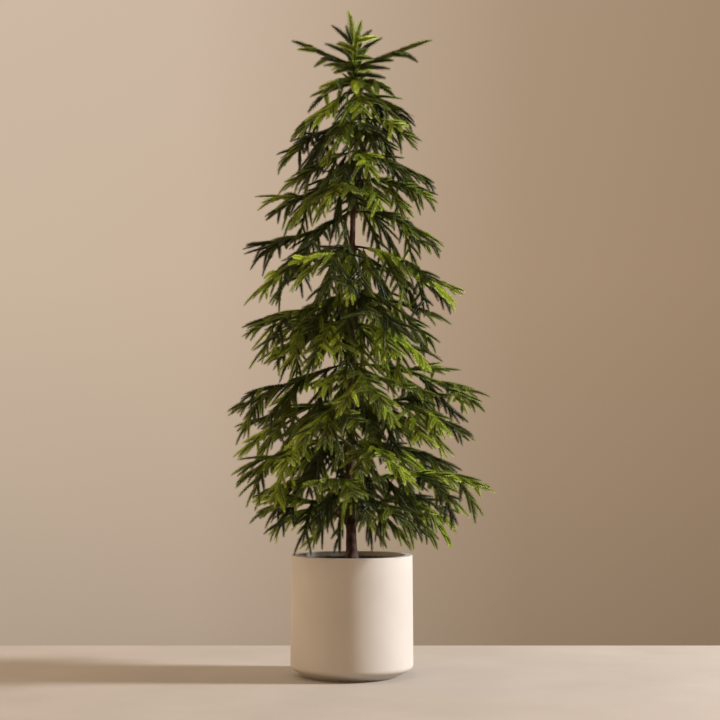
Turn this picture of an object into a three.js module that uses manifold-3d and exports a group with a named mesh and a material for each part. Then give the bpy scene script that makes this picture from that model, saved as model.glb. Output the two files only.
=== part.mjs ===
// Artificial Norfolk Island pine in a plain round planter.
// Millimetres, +Z up, origin at the middle of the planter's flat underside.
import * as THREE from 'three';
import { mergeVertices } from 'three/addons/utils/BufferGeometryUtils.js';
import Module from 'manifold-3d';

const manifold = await Module();
manifold.setup();

// Planter: a straight cup with a blunt lip and a foot set well in under its wall
const POT_HEIGHT = 325;
const POT_RIM_RADIUS = 164.5;
const POT_BASE_RADIUS = 166.5;
const POT_WALL = 22;
const POT_FLOOR = 30;
const FOOT_RADIUS = 128;
const FOOT_HEIGHT = 3;
const UNDERCUT_RADIUS = 133;
const WALL_START = 27;
const CORNER = 8;
const LIP_ROUND = 2.5;
const POT_SIDES = 36;

// Filling: a firm block with a rough dark top, just under the lip
const FILL_TOP = 313;
const FILL_CROWN = 3;
const TRUNK_BED = 4;
const SEAT_GAP = 0.3;

// Trunk: its line bends a little, and it tapers from the filling up to the leader, which carries it on
const TRUNK_TOP = 1600;
const LEADER_TIP = [-3, 1822];
const TRUNK_LINE = [
  [0, FILL_TOP], [-5, 480], [-3, 900], [1, 1190], [6, 1335], [15, 1560], [13, TRUNK_TOP], LEADER_TIP,
];
const TRUNK_FOOT_RADIUS = 14.5;
const TRUNK_TOP_RADIUS = 4.6;
const FLARE = 6;
const FLARE_LENGTH = 18;
const TRUNK_SIDES = 12;
const TRUNK_RINGS = [FILL_TOP, 319, 328, 341, 361, 391, 480, 900, 1190, 1335, 1560, TRUNK_TOP];
const LEADER_SPRAYS = 17;
const LEADER_LEANS = [112, 34];
const LEADER_LENGTHS = [104, 84];
const LEADER_FIRST = 0.06;
const LEADER_RUN = 0.48;
const LEADER_BARE = 0.1;
const LEADER_SIZE = 0.66;
const LEADER_FOOT_SHARE = 0.9;
const SPIRAL_START = 2.3;
const SPIRAL_TURN = 2.4;

// Whorls from the top down: height on the trunk, then reach and height of the right-hand tip,
// reach and height of the left-hand tip, arch on the right and on the left, first azimuth, number of
// boughs; the boughs of the first two leave the leader
const WHORLS = [
  [1658, 214, 1738, 162, 1748, -0.02, -0.10, 2, 4],
  [1622, 150, 1566, 134, 1562, 0.40, 0.35, -36, 4],
  [1592, 168, 1520, 164, 1462, 0.30, 0.24, 14, 4],
  [1512, 180, 1452, 226, 1424, 0.30, 0.20, -20, 4],
  [1430, 234, 1348, 186, 1332, 0.14, 0.14, 12, 4],
  [1343, 226, 1288, 254, 1264, 0.26, 0.12, -18, 4],
  [1268, 250, 1170, 294, 1178, 0.34, -0.30, 6, 2],
  [1166, 280, 1000, 284, 1054, 0.38, 0.30, -22, 4],
  [1048, 234, 906, 286, 930, 0.34, -0.04, 26, 4],
  [956, 208, 834, 246, 846, 0.34, 0.46, -30, 4],
  [842, 372, 730, 340, 718, 0.24, 0.08, 4, 4],
  [745, 306, 648, 322, 614, 0.36, 0.34, -26, 4],
  [628, 300, 544, 304, 520, 0.26, 0.40, 26, 4],
  [506, 384, 504, 275, 476, 0.34, 0.36, -5, 4],
  [414, 296, 422, 238, 436, 0.60, 0.56, 32, 4],
];
const SIDEWAYS = 0.8;
const SIDE_REACH = 0.97;
const ACROSS_REACH = [0.84, 0.98];
const AZIMUTH_PLAY = 5;
const HEIGHT_PLAY = 7;
const SWING = 7;
const END_SPRAY_LEAST = 48;
const END_SPRAY_GROWTH = 0.1;
const END_SPRAY_MOST = 84;
const LEADER_WHORLS = 2;
const LEADER_TWIGS_LEAST = 3;
const LEADER_TWIGS = 0.15;
const LEADER_HANG = 0.4;
const BARE_WHORL = WHORLS.length - 1;
const BARE_SHARE = 0.3;
const STEM_GAP = 0.5;

// Twigs along a bough: spacing, first place, run, share of every length, and how they turn away
const TWIG_SPACING = 32;
const TWIGS_LEAST = 5;
const TWIG_START = 0.10;
const TWIG_RUN = 0.80;
const TWIG_SHARE = 0.56;
const TWIG_LEAST = 22;
const TWIG_PLAY = 0.25;
const TWIG_LIMITS = [0.08, 0.93];
const TWIG_OUTLINE = 0.75;
const TWIG_LENGTHS = [0.85, 1.12];
const TWIG_SPREAD = [34, 54];
const TWIG_LOWERED = [6, 30, -18, 18, 38, -6];
const LOWERED_PLAY = 7;
const INNER_SHARE = 0.45;
const INNER_LOWERED = 46;
const INNER_SHORTER = 0.3;
const APRON_WHORL = 13;
const APRON_LOWERED = 14;
const TWIG_SAG = [0.05, 0.22];
const NEAREST_TWIG = 0.03;
const TWIG_SIZE = 0.92;
const TWIG_END_SPRAY = 0.9;

// Limbs and the toothed bodies of needles on them
const LIMB_RADIUS = 5.5;
const LIMB_SIDES = 6;
const STEM_LEAST = 2.3;
const STEM_GROWTH = 0.0045;
const STEM_BARE = 0.16;
const STEM_TAPER = 0.85;
const NECK_RADIUS = 2.8;
const NECK_LENGTH = 9;
const ROOT_SUNK = 1.5;
const TOOTH_SPACING = 96;
const TOOTH_RADIUS = 16;
const SIZE_LEAST = 0.55;
const SIZE_FULL_AT = 500;
const FIRST_TOOTH = 0.62;
const LAST_TOOTH = 0.45;
const NOTCH_SHARE = 0.5;
const NOTCH_LENGTH = 7;
const TIP_TAPER = 0.35;

// Single sprays between the twigs
const SPRAY_SPACING = 128;
const SPRAY_LENGTH = 104;
const SPRAY_SPREAD = [32, 50];
const SPRAY_LOWERED = [-8, 36];
const SPRAY_FIRST = 0.4;
const SPRAY_RUN = 0.85;
const SPRAY_SIZE = 0.9;
const SPRAY_LENGTHS = [0.75, 1];
const SPRAY_SHORTER = 0.2;
const TWIG_BARE = 0.25;

const CLEARANCE = 0.8;
const JOIN_TOLERANCE = 0.04;
const MERGE_TOLERANCE = 1e-4;
const LOWEST_LEAF = POT_HEIGHT + 6;

const UP = new THREE.Vector3(0, 0, 1);
const radians = THREE.MathUtils.degToRad;
const clamp = THREE.MathUtils.clamp;

const finishes = {
  planter: new THREE.MeshStandardMaterial({ color: 0xe9dccb, roughness: 0.7, metalness: 0 }),
  filling: new THREE.MeshStandardMaterial({ color: 0x2a2118, roughness: 0.95, metalness: 0 }),
  bark: new THREE.MeshStandardMaterial({ color: 0x5e4534, roughness: 0.9, metalness: 0 }),
  needles: new THREE.MeshStandardMaterial({ color: 0x4a5520, roughness: 0.7, metalness: 0 }),
};

// A repeatable run of numbers between low and high for one bough
function draws(whorl, bough) {
  let state = (7919 * (whorl + 1) + 104729 * (bough + 1)) >>> 0;
  const draw = (low = 0, high = 1) => {
    state = (Math.imul(state, 1664525) + 1013904223) >>> 0;
    return low + (high - low) * state / 4294967296;
  };
  for (let i = 0; i < 4; i += 1) {
    draw();
  }
  return draw;
}

// Closed body between numbered corners, as a solid
function solidOf(points, faces) {
  const vertProperties = new Float32Array(points.flatMap((p) => [p.x, p.y, p.z]));
  const triVerts = new Uint32Array(faces.flat());
  return new manifold.Manifold(new manifold.Mesh({ numProp: 3, vertProperties, triVerts }));
}

function solidOfGeometry(geometry) {
  geometry.deleteAttribute('normal');
  geometry.deleteAttribute('uv');
  const merged = mergeVertices(geometry, MERGE_TOLERANCE);
  const place = merged.attributes.position;
  const corner = (i) => new THREE.Vector3().fromBufferAttribute(place, i);
  const points = Array.from({ length: place.count }, (_, i) => corner(i));
  const faces = [];
  for (let i = 0; i < merged.index.count; i += 3) {
    const face = [merged.index.getX(i), merged.index.getX(i + 1), merged.index.getX(i + 2)];
    if (new Set(face).size === 3) {
      faces.push(face);
    }
  }
  return solidOf(points, faces);
}

function meshOf(name, solid, finish) {
  const { vertProperties, triVerts } = solid.simplify(JOIN_TOLERANCE).getMesh();
  const geometry = new THREE.BufferGeometry();
  geometry.setAttribute('position', new THREE.Float32BufferAttribute(vertProperties, 3));
  geometry.setIndex(Array.from(triVerts));
  geometry.computeVertexNormals();
  const mesh = new THREE.Mesh(geometry, finish);
  mesh.name = name;
  return mesh;
}

// Round body turned about the vertical axis from (radius, height) pairs
function turned(profile, sides) {
  const geometry = new THREE.LatheGeometry(profile.map(([r, z]) => new THREE.Vector2(r, z)), sides);
  geometry.rotateX(Math.PI / 2);
  return solidOfGeometry(geometry);
}

// Tapering limb through a row of {at, along, radius}; a radius of 0 ends it in a point
function limb(stations, sides) {
  const points = [];
  const faces = [];
  const ringAt = [];
  const above = Math.abs(stations[0].along.z) > 0.9 ? new THREE.Vector3(0, 1, 0) : UP.clone();
  for (const { at, along, radius } of stations) {
    ringAt.push(points.length);
    if (radius === 0) {
      points.push(at.clone());
      continue;
    }
    above.addScaledVector(along, -above.dot(along)).normalize();
    const across = new THREE.Vector3().crossVectors(along, above);
    for (let i = 0; i < sides; i += 1) {
      const turn = 2 * Math.PI * (i + 0.25) / sides;
      const point = at.clone().addScaledVector(across, radius * Math.cos(turn));
      points.push(point.addScaledVector(above, radius * Math.sin(turn)));
    }
  }
  const last = stations.length - 1;
  for (let s = 0; s < last; s += 1) {
    for (let i = 0; i < sides; i += 1) {
      const j = (i + 1) % sides;
      const [a, b] = [ringAt[s] + i, ringAt[s] + j];
      const [c, d] = [ringAt[s + 1] + i, ringAt[s + 1] + j];
      if (stations[s].radius === 0) {
        faces.push([ringAt[s], c, d]);
      } else if (stations[s + 1].radius === 0) {
        faces.push([b, a, ringAt[s + 1]]);
      } else {
        faces.push([b, a, c], [b, c, d]);
      }
    }
  }
  for (let i = 1; i < sides - 1; i += 1) {
    if (stations[0].radius > 0) {
      faces.push([ringAt[0], ringAt[0] + i, ringAt[0] + i + 1]);
    }
    if (stations[last].radius > 0) {
      faces.push([ringAt[last], ringAt[last] + i + 1, ringAt[last] + i]);
    }
  }
  return solidOf(points, faces);
}

// Trunk line and radius at a height
function trunkAt(z) {
  for (let i = 1; i < TRUNK_LINE.length; i += 1) {
    const [x0, z0] = TRUNK_LINE[i - 1];
    const [x1, z1] = TRUNK_LINE[i];
    if (z <= z1 || i === TRUNK_LINE.length - 1) {
      return new THREE.Vector3(x0 + (x1 - x0) * (z - z0) / (z1 - z0), 0, z);
    }
  }
  return null;
}

function trunkRadius(z) {
  const share = (z - FILL_TOP) / (TRUNK_TOP - FILL_TOP);
  const straight = TRUNK_FOOT_RADIUS + (TRUNK_TOP_RADIUS - TRUNK_FOOT_RADIUS) * share;
  return straight + FLARE * Math.exp(-(z - FILL_TOP) / FLARE_LENGTH);
}

function tangent(path, t) {
  const step = 0.02;
  return path(Math.min(1, t + step)).sub(path(Math.max(0, t - step))).normalize();
}

function pathLength(path) {
  const steps = 12;
  let length = 0;
  for (let i = 0; i < steps; i += 1) {
    length += path(i / steps).distanceTo(path((i + 1) / steps));
  }
  return length;
}

// Direction that leaves `along` to one side by `spread` and is lowered by `lower`
function branchWay(along, side, spread, lower) {
  const right = new THREE.Vector3().crossVectors(along, UP);
  const above = right.cross(along).normalize();
  const way = along.clone().applyAxisAngle(above, side * spread);
  const level = new THREE.Vector3().crossVectors(UP, way).normalize();
  return way.applyAxisAngle(level, lower);
}

// Hanging curve from a point: straight on, then drooping
function droop(from, way, length, sag) {
  return (t) => from.clone().addScaledVector(way, length * t).addScaledVector(UP, -sag * length * t * t);
}

// The plan of one bough: its path, its length, its spray length and its twigs
function boughPlan(whorl, bough) {
  const [height, rightReach, rightTip, leftReach, leftTip, ...shape] = WHORLS[whorl];
  const [rightArch, leftArch, first, count] = shape;
  const onLeader = whorl < LEADER_WHORLS;
  const draw = draws(whorl, bough);
  const azimuth = radians(first + 360 / count * bough + draw(-AZIMUTH_PLAY, AZIMUTH_PLAY));
  const side = Math.cos(azimuth);
  const right = 0.5 + 0.5 * side;
  const shrink = draw(...ACROSS_REACH);
  const stretch = Math.abs(side) > SIDEWAYS ? SIDE_REACH / Math.abs(side) : shrink;
  const reach = (leftReach + (rightReach - leftReach) * right) * stretch;
  const tipHeight = leftTip + (rightTip - leftTip) * right;
  const arch = leftArch + (rightArch - leftArch) * right;
  const from = height + draw(-HEIGHT_PLAY, HEIGHT_PLAY);
  const swing = radians(draw(-SWING, SWING));
  const spray = Math.min(END_SPRAY_MOST, END_SPRAY_LEAST + END_SPRAY_GROWTH * reach);
  const endSlope = (tipHeight - from) / reach - arch;
  const level = TWIG_END_SPRAY * spray / Math.hypot(1, endSlope);
  const span = reach - level;
  const climb = tipHeight - from - level * endSlope;
  const start = trunkAt(from);
  const startRadius = onLeader ? 0 : trunkRadius(from) + STEM_GAP;
  const path = (t) => {
    const angle = azimuth + swing * t * t;
    const out = startRadius + (span - startRadius) * t;
    return new THREE.Vector3(
      start.x * (1 - t) + Math.cos(angle) * out,
      Math.sin(angle) * out,
      from + climb * t + arch * span * t * (1 - t),
    );
  };
  const length = pathLength(path);
  const outward = new THREE.Vector3(Math.cos(azimuth), Math.sin(azimuth), 0);
  const size = TOOTH_RADIUS * Math.min(1, SIZE_LEAST + length / SIZE_FULL_AT);
  const plan = { whorl, path, length, spray, size, outward, draw, twigs: [] };
  plan.name = `${whorl}_${bough + 1}`;
  let hand = draw() < 0.5 ? 1 : -1;
  const least = onLeader ? LEADER_TWIGS_LEAST : TWIGS_LEAST;
  const twigs = Math.max(least, Math.round(length / TWIG_SPACING));
  for (let i = 0; i < twigs; i += 1) {
    const share = TWIG_START + TWIG_RUN * (i + draw(-TWIG_PLAY, TWIG_PLAY)) / (twigs - 1);
    const t = clamp(share, ...TWIG_LIMITS);
    const inner = onLeader ? 0 : Math.max(0, 1 - t / INNER_SHARE);
    const turn = TWIG_LOWERED[(i + whorl + bough) % TWIG_LOWERED.length];
    const hang = turn * (onLeader ? LEADER_HANG : 1) + INNER_LOWERED * inner;
    const apron = whorl < APRON_WHORL ? 0 : APRON_LOWERED;
    const lowered = radians(hang + apron + draw(-LOWERED_PLAY, LOWERED_PLAY));
    const way = branchWay(tangent(path, t), hand, radians(draw(...TWIG_SPREAD)), lowered);
    const fullLength = length * TWIG_SHARE * (1 - t) ** TWIG_OUTLINE + TWIG_LEAST;
    const shorter = onLeader ? LEADER_TWIGS : 1 - INNER_SHORTER * inner;
    const twigLength = fullLength * draw(...TWIG_LENGTHS) * shorter;
    const twigPath = droop(path(t), way, twigLength, draw(...TWIG_SAG));
    plan.twigs.push({ path: twigPath, length: twigLength, from: t, rank: i });
    hand = -hand;
  }
  return plan;
}

// Straight tapering stretches that stand for a limb in the clearance test
function stretches(stations) {
  return stations.slice(1).map((end, i) => ({
    a: stations[i].at, b: end.at, ra: stations[i].radius, rb: end.radius,
  }));
}

// Least gap between two tapering stretches
function gapBetween(p, q) {
  const u = p.b.clone().sub(p.a);
  const v = q.b.clone().sub(q.a);
  const w = p.a.clone().sub(q.a);
  const [a, b, c, d, e] = [u.dot(u), u.dot(v), v.dot(v), u.dot(w), v.dot(w)];
  const det = a * c - b * b;
  let s = det > 1e-9 ? clamp((b * e - c * d) / det, 0, 1) : 0;
  const t = clamp((b * s + e) / c, 0, 1);
  s = clamp((b * t - d) / a, 0, 1);
  const gap = w.addScaledVector(u, s).addScaledVector(v, -t).length();
  return gap - (p.ra + (p.rb - p.ra) * s) - (q.ra + (q.rb - q.ra) * t);
}

function boxOf(parts) {
  const box = new THREE.Box3();
  for (const part of parts) {
    const r = Math.max(part.ra, part.rb) + CLEARANCE;
    box.expandByPoint(part.a.clone().subScalar(r)).expandByPoint(part.a.clone().addScalar(r));
    box.expandByPoint(part.b.clone().subScalar(r)).expandByPoint(part.b.clone().addScalar(r));
  }
  return box;
}

const placed = [];

// Keeps a piece whose stretches stay clear of all but the pieces it grows on, or else gives null
function claim(parts, owners, forced) {
  const box = boxOf(parts);
  for (const part of parts) {
    if (Math.min(part.a.z - part.ra, part.b.z - part.rb) < LOWEST_LEAF) {
      return null;
    }
  }
  for (const other of placed) {
    if (forced || owners.includes(other) || !other.box.intersectsBox(box)) {
      continue;
    }
    for (const mine of parts) {
      for (const theirs of other.parts) {
        if (gapBetween(mine, theirs) < CLEARANCE) {
          return null;
        }
      }
    }
  }
  const piece = { parts, box };
  placed.push(piece);
  return piece;
}

// Stations along a path between two shares of it, the radius tapering
function stationsOn(path, from, to, startRadius, endRadius, steps) {
  return Array.from({ length: steps + 1 }, (_, i) => {
    const t = from + (to - from) * i / steps;
    const radius = startRadius + (endRadius - startRadius) * i / steps;
    return { at: path(t), along: tangent(path, t), radius };
  });
}

// Places along a path by distance, running straight on past its end
function placesAlong(path, length, start = 0) {
  const endWay = tangent(path, 1);
  return (distance) => {
    const t = start + (1 - start) * distance / length;
    if (t <= 1) {
      return { at: path(t), along: tangent(path, t) };
    }
    return { at: path(1).addScaledVector(endWay, distance - length), along: endWay.clone() };
  };
}

// Needles along a limb: a slim three-edged body whose teeth lean forward, ending in a point
function needleStations(place, from, total, size) {
  const teeth = Math.max(1, Math.round((total - from) / TOOTH_SPACING));
  const stations = [];
  for (let k = 0; k < teeth; k += 1) {
    const distance = from + (total - from) * (k + FIRST_TOOTH) / (teeth + LAST_TOOTH);
    const radius = size * (1 - TIP_TAPER * (k + 1) / teeth);
    stations.push({ ...place(distance), radius });
    stations.push({ ...place(distance + NOTCH_LENGTH), radius: radius * NOTCH_SHARE });
  }
  stations.push({ ...place(total), radius: 0 });
  return stations;
}

// Point and direction at a share of a limb's length
function onLimb(stations, share) {
  const runs = stations.slice(1).map((end, i) => end.at.distanceTo(stations[i].at));
  let left = share * runs.reduce((sum, run) => sum + run, 0);
  for (let i = 0; i < runs.length; i += 1) {
    if (left <= runs[i] || i === runs.length - 1) {
      const at = stations[i].at.clone().lerp(stations[i + 1].at, Math.min(1, left / runs[i]));
      return { at, along: stations[i + 1].at.clone().sub(stations[i].at).normalize() };
    }
    left -= runs[i];
  }
  return null;
}

// Fuses a three-edged piece to its mass where it has room; the first stem of a mass is always kept
function addPiece(mass, stations, owners) {
  const piece = claim(stretches(stations), owners, !mass.solid);
  if (piece) {
    const solid = limb(stations, 3);
    mass.solid = mass.solid ? mass.solid.add(solid) : solid;
  }
  return piece;
}

function stemRadius(plan) {
  return STEM_LEAST + STEM_GROWTH * plan.length;
}

// One mass: its stem, then twigs, then sprays between them, each kept only where it has room
function addStem(plan) {
  const start = plan.whorl === BARE_WHORL ? BARE_SHARE : 0;
  const length = plan.length * (1 - start);
  const place = placesAlong(plan.path, length, start);
  const foot = { ...place(0), radius: stemRadius(plan) };
  if (start === 0) {
    foot.along = plan.outward;
  }
  const bareEnd = { ...place(STEM_BARE * length), radius: STEM_TAPER * foot.radius };
  const total = length + plan.spray;
  const stations = [foot, bareEnd, ...needleStations(place, STEM_BARE * length, total, plan.size)];
  plan.start = start;
  plan.piece = addPiece(plan.mass, stations, [...plan.owners, plan.limbPiece]);
  plan.owners.push(plan.piece);
  plan.stem = stations;
  plan.axes = [{ stations, length: total, piece: plan.piece, from: STEM_BARE }];
}

function addTwigs(plan) {
  for (const twig of plan.twigs) {
    const along = (twig.from - plan.start) / (1 - plan.start);
    const share = along * plan.length / (plan.length + plan.spray);
    const leftOut = plan.twigs.length > TWIGS_LEAST && twig.rank % 3 === 2;
    if (leftOut || share < NEAREST_TWIG) {
      continue;
    }
    const { at } = onLimb(plan.stem, share);
    const place = placesAlong(twig.path, twig.length);
    const way = place(0).along;
    const root = { at: at.clone().addScaledVector(way, -ROOT_SUNK), along: way, radius: 0 };
    const neck = { at: at.addScaledVector(way, NECK_LENGTH), along: way, radius: NECK_RADIUS };
    const total = twig.length + TWIG_END_SPRAY * plan.spray;
    const stations = [root, neck, ...needleStations(place, NECK_LENGTH, total, TWIG_SIZE * plan.size)];
    const piece = addPiece(plan.mass, stations, [plan.piece]);
    if (piece) {
      plan.axes.push({ stations, length: total, piece, from: TWIG_BARE });
    }
  }
}

function addSprays(plan) {
  for (const { stations, length, piece, from } of plan.axes) {
    const count = Math.round(length * (SPRAY_RUN - from) / SPRAY_SPACING);
    for (let i = 0; i < count; i += 1) {
      const share = from + (SPRAY_RUN - from) * (i + SPRAY_FIRST) / count;
      const { at, along } = onLimb(stations, share);
      const side = (i % 2) * 2 - 1;
      const spread = radians(plan.draw(...SPRAY_SPREAD));
      const way = branchWay(along, side, spread, radians(plan.draw(...SPRAY_LOWERED)));
      const root = { at: at.clone().addScaledVector(way, -ROOT_SUNK), along: way, radius: 0 };
      const reach = SPRAY_LENGTH * plan.draw(...SPRAY_LENGTHS) * (1 - SPRAY_SHORTER * share);
      const place = (distance) => ({ at: at.clone().addScaledVector(way, distance), along: way });
      const needles = needleStations(place, NECK_LENGTH, reach, SPRAY_SIZE * plan.size);
      addPiece(plan.mass, [root, ...needles], [piece]);
    }
  }
}

// Leader: the tree's soft top stem
function leaderStem(mass) {
  const foot = trunkAt(TRUNK_TOP).addScaledVector(UP, SEAT_GAP);
  const way = trunkAt(LEADER_TIP[1]).sub(foot);
  const length = way.length();
  way.normalize();
  const place = (distance) => ({ at: foot.clone().addScaledVector(way, distance), along: way });
  const base = { at: foot, along: UP, radius: LEADER_FOOT_SHARE * TRUNK_TOP_RADIUS };
  const needles = needleStations(place, LEADER_BARE * length, length, LEADER_SIZE * TOOTH_RADIUS);
  const stations = [base, ...needles];
  return { way, stations, piece: addPiece(mass, stations, [trunkPiece]) };
}

// Sprays set round the leader in a spiral: level at its foot, steeper and shorter further up
function addLeaderSprays(mass, { way, stations, piece }) {
  for (let i = 0; i < LEADER_SPRAYS; i += 1) {
    const rank = i / (LEADER_SPRAYS - 1);
    const lean = radians(LEADER_LEANS[0] + (LEADER_LEANS[1] - LEADER_LEANS[0]) * rank);
    const turn = SPIRAL_START + SPIRAL_TURN * i;
    const sprayWay = way.clone().multiplyScalar(Math.cos(lean));
    sprayWay.x += Math.cos(turn) * Math.sin(lean);
    sprayWay.y += Math.sin(turn) * Math.sin(lean);
    sprayWay.normalize();
    const { at } = onLimb(stations, LEADER_FIRST + LEADER_RUN * rank);
    const root = { at, along: sprayWay, radius: 0 };
    const place = (distance) => ({ at: at.clone().addScaledVector(sprayWay, distance), along: sprayWay });
    const reach = LEADER_LENGTHS[0] + (LEADER_LENGTHS[1] - LEADER_LENGTHS[0]) * rank;
    const needles = needleStations(place, NECK_LENGTH, reach, LEADER_SIZE * TOOTH_RADIUS);
    addPiece(mass, [root, ...needles], [piece]);
  }
}

function potSolid() {
  const inner = POT_RIM_RADIUS - POT_WALL;
  return turned([
    [0, 0],
    [FOOT_RADIUS, 0],
    [FOOT_RADIUS, FOOT_HEIGHT],
    [UNDERCUT_RADIUS, FOOT_HEIGHT],
    [POT_BASE_RADIUS - CORNER, WALL_START - CORNER * 0.7],
    [POT_BASE_RADIUS - CORNER * 0.3, WALL_START - CORNER * 0.2],
    [POT_BASE_RADIUS, WALL_START + CORNER * 0.6],
    [POT_RIM_RADIUS, POT_HEIGHT - LIP_ROUND],
    [POT_RIM_RADIUS - LIP_ROUND, POT_HEIGHT],
    [inner + LIP_ROUND, POT_HEIGHT],
    [inner, POT_HEIGHT - LIP_ROUND],
    [inner, POT_FLOOR],
    [0, POT_FLOOR],
  ], POT_SIDES);
}

function fillSolid() {
  const radius = POT_RIM_RADIUS - POT_WALL - 2 * SEAT_GAP;
  const foot = trunkRadius(FILL_TOP) + TRUNK_BED;
  return turned([
    [0, POT_FLOOR + SEAT_GAP],
    [radius, POT_FLOOR + SEAT_GAP],
    [radius, FILL_TOP - FILL_CROWN],
    [foot, FILL_TOP],
    [0, FILL_TOP],
  ], POT_SIDES);
}

function trunkSolid() {
  const stations = TRUNK_RINGS.map((z) => ({ at: trunkAt(z), along: UP, radius: trunkRadius(z) }));
  stations[0].at.z += SEAT_GAP;
  return { solid: limb(stations, TRUNK_SIDES), parts: stretches(stations) };
}

// Bare limb of a lowest bough, from the trunk to where its mass begins
function bareLimb(plan) {
  const stations = stationsOn(plan.path, 0, BARE_SHARE, LIMB_RADIUS, stemRadius(plan), 4);
  stations[0].along = plan.outward;
  const end = stations[stations.length - 1];
  end.at = end.at.clone().addScaledVector(end.along, -SEAT_GAP);
  return { solid: limb(stations, LIMB_SIDES), parts: stretches(stations) };
}

const plant = new THREE.Group();
plant.add(meshOf('pot', potSolid(), finishes.planter));
plant.add(meshOf('pot_fill', fillSolid(), finishes.filling));

const trunk = trunkSolid();
const trunkPiece = { parts: trunk.parts, box: boxOf(trunk.parts) };
plant.add(meshOf('trunk', trunk.solid, finishes.bark));

const leaderMass = { name: 'foliage_leader' };
const leader = leaderStem(leaderMass);
const leaderOwners = [leader.piece];
const plans = [];
for (const [whorl, row] of WHORLS.entries()) {
  for (let bough = 0; bough < row[row.length - 1]; bough += 1) {
    const plan = boughPlan(whorl, bough);
    const onLeader = whorl < LEADER_WHORLS;
    plan.mass = onLeader ? leaderMass : { name: `foliage_${plan.name}` };
    plan.owners = onLeader ? leaderOwners : [trunkPiece];
    plans.push(plan);
  }
}
for (const plan of plans.filter((each) => each.whorl === BARE_WHORL)) {
  const bare = bareLimb(plan);
  plan.limb = bare.solid;
  plan.limbPiece = { parts: bare.parts, box: boxOf(bare.parts) };
  placed.push(plan.limbPiece);
}
plans.forEach(addStem);
placed.push(trunkPiece);
addLeaderSprays(leaderMass, leader);
plans.forEach(addTwigs);
plans.forEach(addSprays);

for (const plan of plans.filter((each) => each.limb)) {
  plant.add(meshOf(`bough_${plan.name}`, plan.limb, finishes.bark));
}
for (const mass of new Set(plans.map((plan) => plan.mass))) {
  plant.add(meshOf(mass.name, mass.solid, finishes.needles));
}

export default plant;
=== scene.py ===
from collections import namedtuple
from math import cos, exp, hypot, pi, radians, sin

import bpy
from mathutils import Matrix, Vector


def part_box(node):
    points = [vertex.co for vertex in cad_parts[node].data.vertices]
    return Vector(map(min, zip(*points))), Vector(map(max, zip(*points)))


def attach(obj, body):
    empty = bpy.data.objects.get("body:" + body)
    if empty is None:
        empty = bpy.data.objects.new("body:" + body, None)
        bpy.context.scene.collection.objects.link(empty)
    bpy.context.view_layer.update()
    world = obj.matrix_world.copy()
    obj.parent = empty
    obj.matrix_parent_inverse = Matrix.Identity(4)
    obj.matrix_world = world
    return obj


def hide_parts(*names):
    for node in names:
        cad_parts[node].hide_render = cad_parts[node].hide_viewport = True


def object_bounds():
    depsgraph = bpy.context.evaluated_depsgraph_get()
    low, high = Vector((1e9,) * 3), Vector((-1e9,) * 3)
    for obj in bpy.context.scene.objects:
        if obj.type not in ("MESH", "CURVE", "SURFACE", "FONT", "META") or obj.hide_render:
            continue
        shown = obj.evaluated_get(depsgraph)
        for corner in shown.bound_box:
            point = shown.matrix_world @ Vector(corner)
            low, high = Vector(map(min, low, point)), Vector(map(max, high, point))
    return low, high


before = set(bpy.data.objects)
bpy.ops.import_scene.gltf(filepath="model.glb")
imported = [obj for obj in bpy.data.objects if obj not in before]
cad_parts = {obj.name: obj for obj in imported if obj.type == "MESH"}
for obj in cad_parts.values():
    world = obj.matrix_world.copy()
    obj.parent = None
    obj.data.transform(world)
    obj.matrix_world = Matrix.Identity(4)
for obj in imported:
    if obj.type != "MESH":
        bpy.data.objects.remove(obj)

solid_low, solid_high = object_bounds()


# The planter is a straight round cup of matte off-white stoneware, cast in one piece and rubbed smooth.
# Its lip is blunt, its lower edge is eased, and a narrower foot lifts the wall off the floor.
POT_SIDES = 144
WALL = 0.022
FLOOR_TOP = 0.030
FOOT_RADIUS = 0.128
FOOT_HEIGHT = 0.003
FOOT_EASE = 0.0008
UNDERCUT_RADIUS = 0.133
UNDERCUT_TOP = 0.023
UNDERCUT_EASE = 0.0012
EDGE_EASE = 0.009
LIP_EASE = 0.003
DRAWN_IN = 0.002
pot_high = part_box("pot")[1]
BASE_RADIUS = pot_high.x
RIM_RADIUS = BASE_RADIUS - DRAWN_IN
RIM_HEIGHT = pot_high.z
INNER_RADIUS = RIM_RADIUS - WALL
ON_AXIS = 1e-6


def eased(corners, steps=6):
    """Outline through (radius, height, ease) corners, each cut back by its ease and rounded off."""
    outline = []
    for i, (radius, height, ease) in enumerate(corners):
        here = Vector((radius, height))
        if ease == 0:
            outline.append(here)
            continue
        before = Vector(corners[i - 1][:2]) - here
        after = Vector(corners[i + 1][:2]) - here
        start = here + before.normalized() * ease
        end = here + after.normalized() * ease
        for k in range(steps + 1):
            t = k / steps
            outline.append(start * (1 - t) ** 2 + here * 2 * t * (1 - t) + end * t ** 2)
    return outline


def smooth_mesh(name, points, faces):
    """Mesh shaded as a smooth skin."""
    mesh = bpy.data.meshes.new(name)
    mesh.from_pydata(points, [], faces)
    mesh.shade_smooth()
    return mesh


def turned_mesh(name, outline, sides):
    """Closed round body whose outline starts and ends on the upright axis, listed from the bottom."""
    points = []
    rings = []
    for radius, height in outline:
        if radius < ON_AXIS:
            rings.append([len(points)] * sides)
            points.append((0, 0, height))
            continue
        rings.append(range(len(points), len(points) + sides))
        for i in range(sides):
            turn = 2 * pi * i / sides
            points.append((radius * cos(turn), radius * sin(turn), height))
    faces = []
    for low, high in zip(rings, rings[1:]):
        for i in range(sides):
            j = (i + 1) % sides
            face = dict.fromkeys([low[i], low[j], high[j], high[i]])
            faces.append(list(face))
    return smooth_mesh(name, points, faces)


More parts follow.
